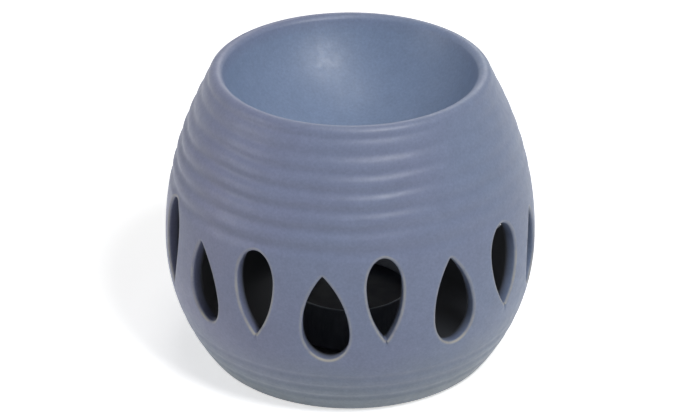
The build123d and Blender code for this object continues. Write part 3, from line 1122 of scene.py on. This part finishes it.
def wax_section(radius, foot, top):
    """Outside of the wax from the middle of its foot, over its rim and in to the wick."""
    foot_inset, foot_round, rim_round, rim_drop, sink = 0.0014, 0.0008, 0.0003, 0.0005, 0.0006
    points = [(0.0, foot)]
    points += turned((radius - foot_inset, foot + foot_round), foot_round, -90, -3, steps=6)
    points += turned((radius - rim_round, top - rim_drop), rim_round, 0, 100, steps=6)
    # How high the wax climbs, over what share of the radius, and where the wick stands
    foil_climb, foil_reach, wick_climb, wick_reach, wick_share = 0.00038, 0.035, 0.0005, 0.05, 0.045
    for share in (0.985, 0.965, 0.94, 0.9, 0.8, 0.65, 0.5, 0.35, 0.22, 0.14, 0.1, 0.075, 0.06, 0.05):
        at_foil = foil_climb * math.exp(-(1 - share) / foil_reach)
        at_wick = wick_climb * math.exp(-(share - wick_share) / wick_reach)
        points.append((radius * share, top - sink + (at_foil + at_wick)))
    return points + [(0.0, top - 0.0001)]


class BURNER_OT_pour_wax(bpy.types.Operator):
    """Pours the wax, drawn up a little at the foil and at the wick"""

    bl_idname = "burner.pour_wax"
    bl_label = "Pour the wax"

    def execute(self, context):
        low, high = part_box("tealight_wax")
        top, count = high.z, 128
        bearings = np.linspace(0, 2 * math.pi, count + 1)[:-1]
        # Only the top is lumpy, and less so near the wick
        lump_size, lump_shift, even_reach, top_depth = 0.00006, 1.6, 0.004, 0.0009
        form, rings = bmesh.new(), []
        for ring, height in wax_section(high.x, low.z, top):
            swell = lump_size * min(1.0, ring / even_reach) * (height > top - top_depth)
            rings.append([])
            for b in bearings:
                lump = math.sin(3 * b + 40 * ring) + 0.6 * math.sin(5 * b - 90 * ring)
                x, y = ring * math.sin(b), -ring * math.cos(b)
                rings[-1].append(form.verts.new((x, y, height + swell * (lump - lump_shift))))
        for upper, lower in zip(rings, rings[1:]):
            for j in range(count):
                k = (j + 1) % count
                form.faces.new((upper[j], upper[k], lower[k], lower[j]))
        mesh = bpy.data.meshes.new("poured_wax")
        form.to_mesh(mesh)
        form.free()
        piece = bpy.data.objects.new("poured_wax", mesh)
        context.scene.collection.objects.link(piece)
        settings = context.scene.burner_tealight
        mesh.materials.append(kept_material("paraffin_wax", paraffin, settings))
        weld(piece)
        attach(piece, "candle")
        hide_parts("tealight_wax")
        return {"FINISHED"}


def lay_tree(values):
    """Lays strands round each other into a wick whose top leans over."""
    tree, g, given = new_geometry_tree("Lay the wick", values)
    strand_share, bow_start = 0.268, 0.65
    strand = given["thickness"] * strand_share
    off = given["thickness"] * 0.5 - strand
    spiral = {"Resolution": 14, "Rotations": given["turns"], "Height": given["length"]}
    helix = g.made("GeometryNodeCurveSpiral", {**spiral, "Start Radius": off, "End Radius": off})
    ring = g.made("GeometryNodeMeshCircle", {"Vertices": given["strands"], "Radius": 0.0})
    turn = g.made("GeometryNodeInputIndex") / given["strands"] * (2 * math.pi)
    copies = {"Points": ring, "Instance": helix, "Rotation": g.joined(0.0, 0.0, turn)}
    laid = g.made("GeometryNodeInstanceOnPoints", copies)
    laid = g.made("GeometryNodeRealizeInstances", {0: laid})
    profile = g.made("GeometryNodeCurvePrimitiveCircle", {"Resolution": 10, "Radius": strand})
    skin = {"Curve": laid, "Profile Curve": profile, "Fill Caps": True}
    cord = g.made("GeometryNodeCurveToMesh", skin)
    x, y, z = g.place()
    bow = given["bow"] * g.ranged(z / given["length"], bow_start, 1.0, smooth=True)
    g.close(g.moved(cord, g.joined(x + bow, y, z + given["foot"])), given["material"])
    return tree


class BURNER_OT_lay_wick(bpy.types.Operator):
    """Lays the cotton wick and dresses the tinplate foot that holds it"""

    bl_idname = "burner.lay_wick"
    bl_label = "Lay the wick"

    def execute(self, context):
        settings = context.scene.burner_tealight
        low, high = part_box("wick")
        top_room, bow = 0.0001, 0.0004
        values = {
            "strands": settings.strands,
            "turns": settings.wick_turns,
            "thickness": settings.wick_thickness,
            "foot": low.z,
            "length": high.z - low.z - top_room,
            "bow": bow,
            "material": kept_material("waxed_cotton", yarn, settings),
        }
        empty = bpy.data.meshes.new("wick_blank")
        piece = run_tree("cotton_wick", empty, lay_tree(values), values)
        piece.data.set_sharp_from_angle(angle=SHARP_ANGLE)
        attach(piece, "candle")
        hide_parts("wick")
        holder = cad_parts["wick_holder"]
        holder.data.materials.clear()
        holder.data.materials.append(kept_material("stamped_tinplate", tinplate, settings))
        return {"FINISHED"}


def seen_white(g):
    """One for what the camera sees, directly, in gloss or through glass, else nothing."""
    path = g.node("ShaderNodeLightPath").outputs
    rays = ("Camera", "Glossy", "Transmission")
    camera, gloss, glass = (Value(g, path[f"Is {ray} Ray"]) for ray in rays)
    return g.math("MAXIMUM", g.math("MAXIMUM", camera, gloss), glass)


def set_floor(settings):
    """Pale floor that takes the object's shadow and glows up to white with the distance."""
    half_width, room_under_foot, glow_start, glow_end = 3.0, 0.00002, 0.15, 0.6
    form = bmesh.new()
    bmesh.ops.create_grid(form, x_segments=8, y_segments=8, size=half_width)
    mesh = bpy.data.meshes.new("studio_floor")
    form.to_mesh(mesh)
    form.free()
    floor = bpy.data.objects.new("studio_floor", mesh)
    floor.location.z = -room_under_foot
    bpy.context.scene.collection.objects.link(floor)
    material, g, place = new_material("pale_floor")
    tone = g.varied(place, 0.995, 1.0, cells=6.0, detail=2.0, seed=1.0)
    away = g.vector("LENGTH", place, output="Value")
    glow = seen_white(g) * g.ranged(away, glow_start, glow_end, settings.floor_glow, 1.0)
    values = {"Base Color": g.toned(settings.floor, tone), "Roughness": 0.9}
    values.update({"Specular IOR Level": 0.0, "Emission Color": (1, 1, 1), "Emission Strength": glow})
    g.coat(values)
    mesh.materials.append(material)


def set_world(ambient):
    """White behind the object for the camera, and a little light from all round."""
    world = bpy.data.worlds.new("studio")
    world.use_nodes = True
    world.node_tree.nodes.clear()
    g = Graph(world.node_tree)
    white, soft = (
        g.made("ShaderNodeBackground", {"Color": (1, 1, 1), "Strength": strength})
        for strength in (1.0, ambient)
    )
    chosen = g.made("ShaderNodeMixShader", {0: seen_white(g), 1: soft, 2: white})
    g.node("ShaderNodeOutputWorld", {0: chosen})
    bpy.context.scene.world = world


def set_lamp(name, power, size, place):
    """Round soft lamp that shines at the pot."""
    light = bpy.data.lights.new(name, "AREA")
    light.shape, light.size, light.energy = "DISK", size, power
    holder = bpy.data.objects.new(name, light)
    holder.location = place
    holder.rotation_euler = (LAMP_AIM - Vector(place)).to_track_quat("-Z", "Y").to_euler()
    bpy.context.scene.collection.objects.link(holder)


def set_camera(settings):
    """Camera in front of the object at the photograph's angle."""
    scene = bpy.context.scene
    camera = bpy.data.objects.new("camera", bpy.data.cameras.new("camera"))
    scene.collection.objects.link(camera)
    target = Vector((0, 0, settings.target_height))
    back = Vector((0, -math.cos(settings.elevation), math.sin(settings.elevation)))
    camera.location = target + back * settings.distance
    camera.rotation_euler = (-back).to_track_quat("-Z", "Y").to_euler()
    camera.data.lens = settings.lens
    camera.data.sensor_width = 36.0
    camera.data.shift_x = -0.0004
    camera.data.clip_start = 0.05
    camera.data.dof.use_dof = False
    scene.camera = camera


class BURNER_OT_set_stage(bpy.types.Operator):
    """Sets the pale floor, the soft lamps and the camera at the photograph's angle"""

    bl_idname = "burner.set_stage"
    bl_label = "Set the stage"

    def execute(self, context):
        settings = context.scene.burner_stage
        set_floor(settings)
        set_world(settings.ambient)
        for name, (size, place) in LAMPS.items():
            set_lamp(name, getattr(settings, name), size, place)
        set_camera(settings)
        context.scene.view_settings.view_transform = "Standard"
        return {"FINISHED"}


class BURNER_PT_panel(bpy.types.Panel):
    """Lists the steps and their settings"""

    bl_idname = "BURNER_PT_panel"
    bl_label = "Oil Burner"
    bl_space_type = "VIEW_3D"
    bl_region_type = "UI"
    bl_category = "Oil Burner"

    def draw(self, context):
        for step in STEPS:
            self.layout.operator(step.bl_idname, text=step.bl_label)
        for name, group in GROUPS.items():
            box = self.layout.box()
            box.label(text=group.__doc__)
            for setting in group.__annotations__:
                box.prop(getattr(context.scene, name), setting)


GROUPS = {
    "burner_pot": PotSettings,
    "burner_rings": RingSettings,
    "burner_drops": DropSettings,
    "burner_glaze": GlazeSettings,
    "burner_tealight": TealightSettings,
    "burner_stage": StageSettings,
}
STEPS = (
    BURNER_OT_throw_pot,
    BURNER_OT_set_dish,
    BURNER_OT_draw_cup,
    BURNER_OT_pour_wax,
    BURNER_OT_lay_wick,
    BURNER_OT_set_stage,
)


def register():
    for group in (*GROUPS.values(), *STEPS, BURNER_PT_panel):
        bpy.utils.register_class(group)
    for name, group in GROUPS.items():
        setattr(bpy.types.Scene, name, PointerProperty(type=group))


def unregister():
    for name in GROUPS:
        delattr(bpy.types.Scene, name)
    for group in (BURNER_PT_panel, *reversed(STEPS), *reversed(tuple(GROUPS.values()))):
        bpy.utils.unregister_class(group)


def main():
    register()
    for step in STEPS:
        category, name = step.bl_idname.split(".")
        getattr(getattr(bpy.ops, category), name)()


if __name__ == "__main__":
    main()
